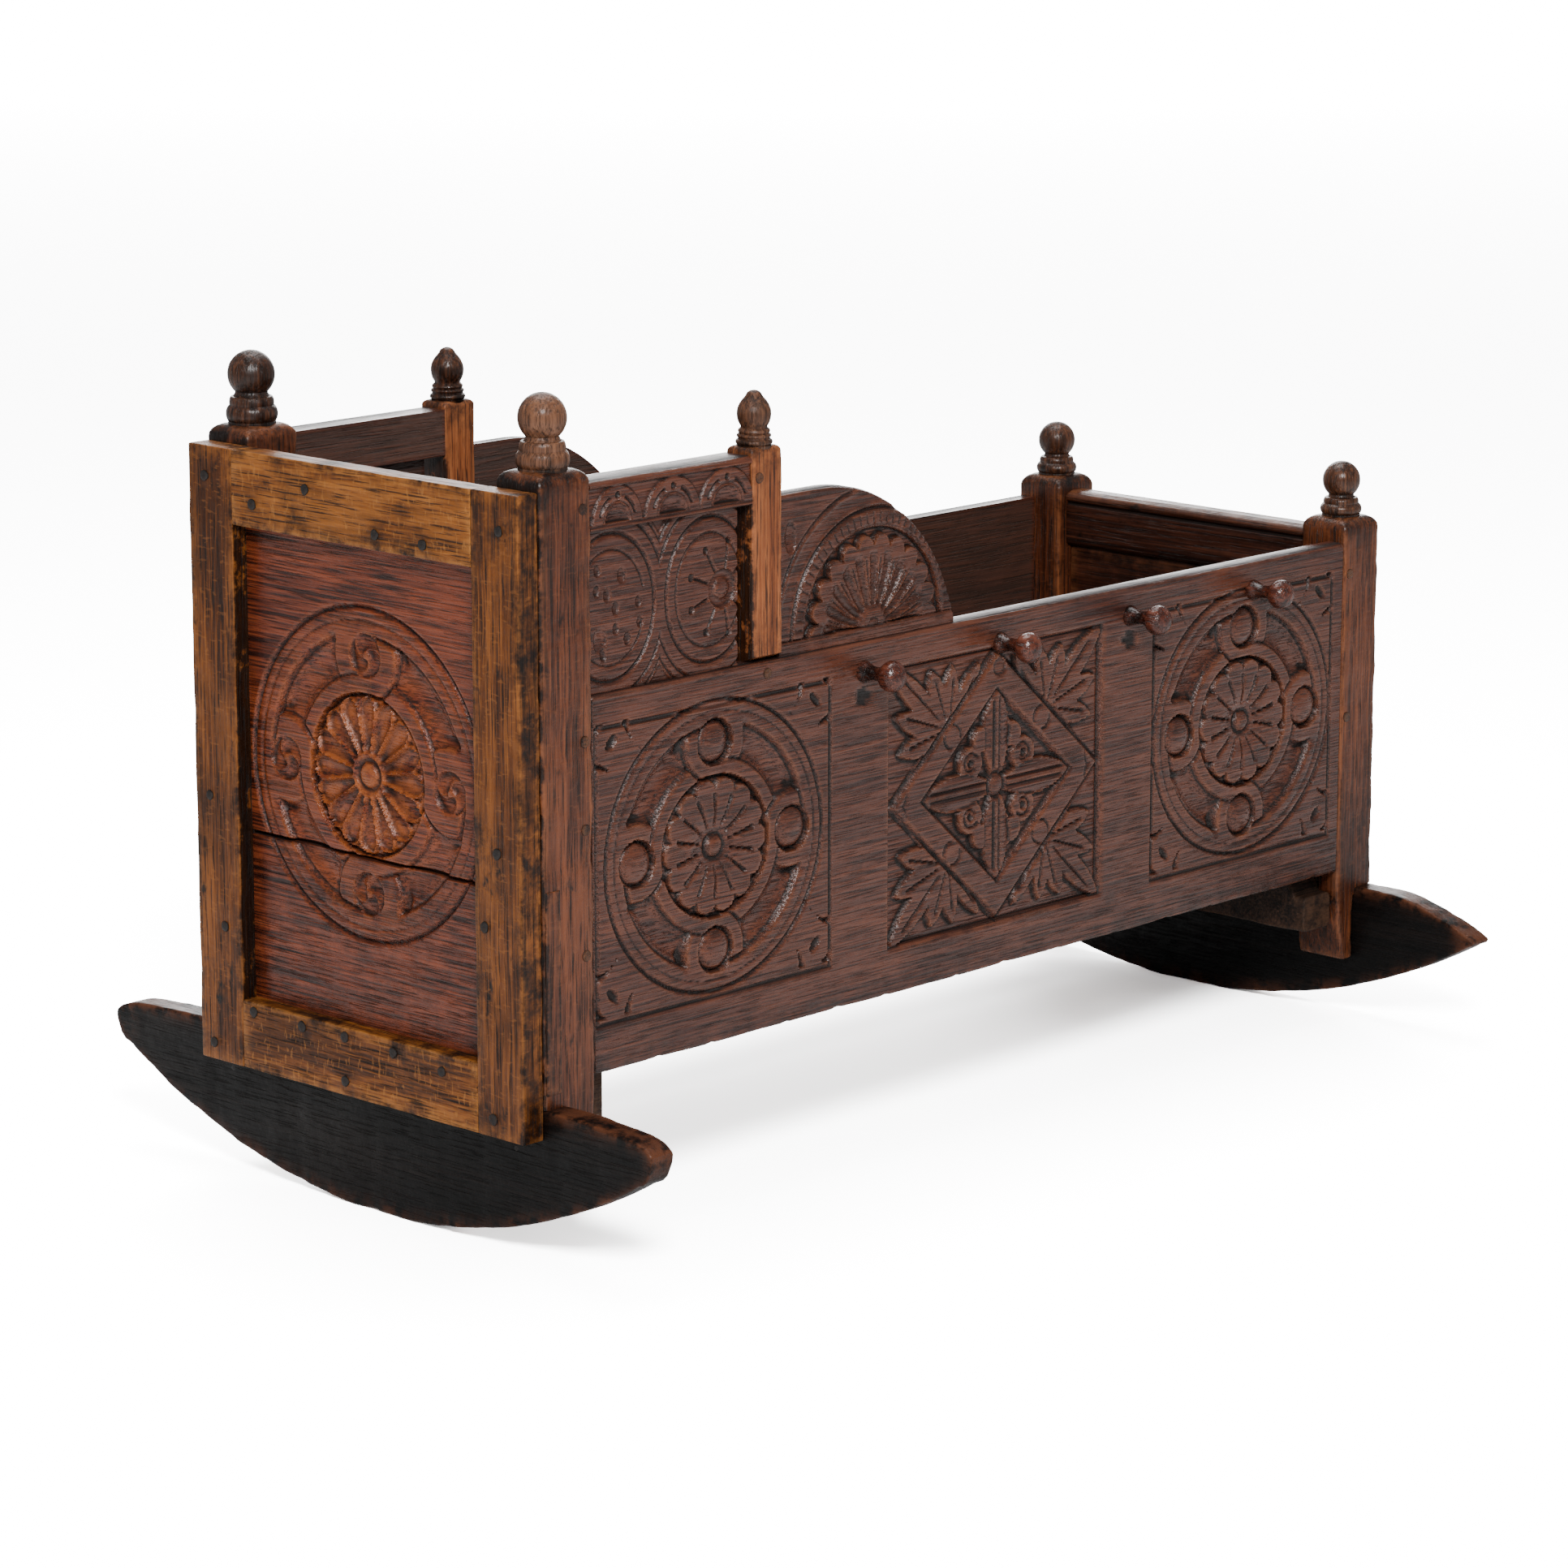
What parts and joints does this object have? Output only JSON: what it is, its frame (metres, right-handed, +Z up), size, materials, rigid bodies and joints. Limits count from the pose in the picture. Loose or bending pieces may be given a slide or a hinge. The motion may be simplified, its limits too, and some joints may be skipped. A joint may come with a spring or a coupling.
{
  "type": "baby cradle",
  "caption": "Joined oak rocking cradle with carved panels, ball finials, open hood sides, lacing knobs and two curved rockers.",
  "frame": {"origin": "on the floor, under the middle of the cradle's length and width", "axes": "+X along the cradle from head to foot, +Z up, +Y to the left side"},
  "size_m": [0.9366, 0.576, 0.5967],
  "materials": {
    "frame_oak": "waxed quarter-sawn oak, golden brown with dark stains",
    "panel_oak": "waxed oak, reddish brown, carved",
    "board_oak": "waxed oak, dark reddish brown, carved",
    "post_oak": "waxed oak, orange brown with dark patches",
    "hood_post_oak": "bare rubbed oak, orange brown",
    "rocker_oak": "black stained oak with brown worn edges",
    "inner_oak": "unwaxed dark oak, grey brown",
    "knob_wood": "turned hardwood, glossy red brown",
    "peg_oak": "oak end grain, dark",
    "nail_iron": "forged, dark"
  },
  "bodies": {
    "root": {"board_nails": "nail_iron", "ear_board_left": "board_oak", "ear_board_right": "board_oak", "floor_bearer_foot": "inner_oak", "floor_bearer_head": "inner_oak", "floor_board_1": "inner_oak", "floor_board_2": "inner_oak", "floor_board_3": "inner_oak", "floor_board_4": "inner_oak", "floor_nails": "nail_iron", "foot_bottom_rail": "board_oak", "foot_panel": "board_oak", "foot_post_left": "post_oak", "foot_post_right": "post_oak", "foot_top_rail": "board_oak", "frame_nails": "nail_iron", "head_bottom_rail": "frame_oak", "head_panel_lower": "panel_oak", "head_panel_upper": "panel_oak", "head_post_left": "post_oak", "head_post_right": "post_oak", "head_stile_left": "frame_oak", "head_stile_right": "frame_oak", "head_top_rail": "frame_oak", "hood_panel_left": "board_oak", "hood_panel_right": "board_oak", "hood_post_left": "hood_post_oak", "hood_post_right": "hood_post_oak", "hood_rail_left": "board_oak", "hood_rail_right": "board_oak", "joint_pegs": "peg_oak", "lacing_knob_left_1": "knob_wood", "lacing_knob_left_2": "knob_wood", "lacing_knob_left_3": "knob_wood", "lacing_knob_left_4": "knob_wood", "lacing_knob_right_1": "knob_wood", "lacing_knob_right_2": "knob_wood", "lacing_knob_right_3": "knob_wood", "lacing_knob_right_4": "knob_wood", "post_repair_patch": "post_oak", "rocker_foot": "rocker_oak", "rocker_head": "rocker_oak", "rocker_nails": "nail_iron", "side_board_left": "board_oak", "side_board_right": "board_oak"}
  },
  "joints": []
}
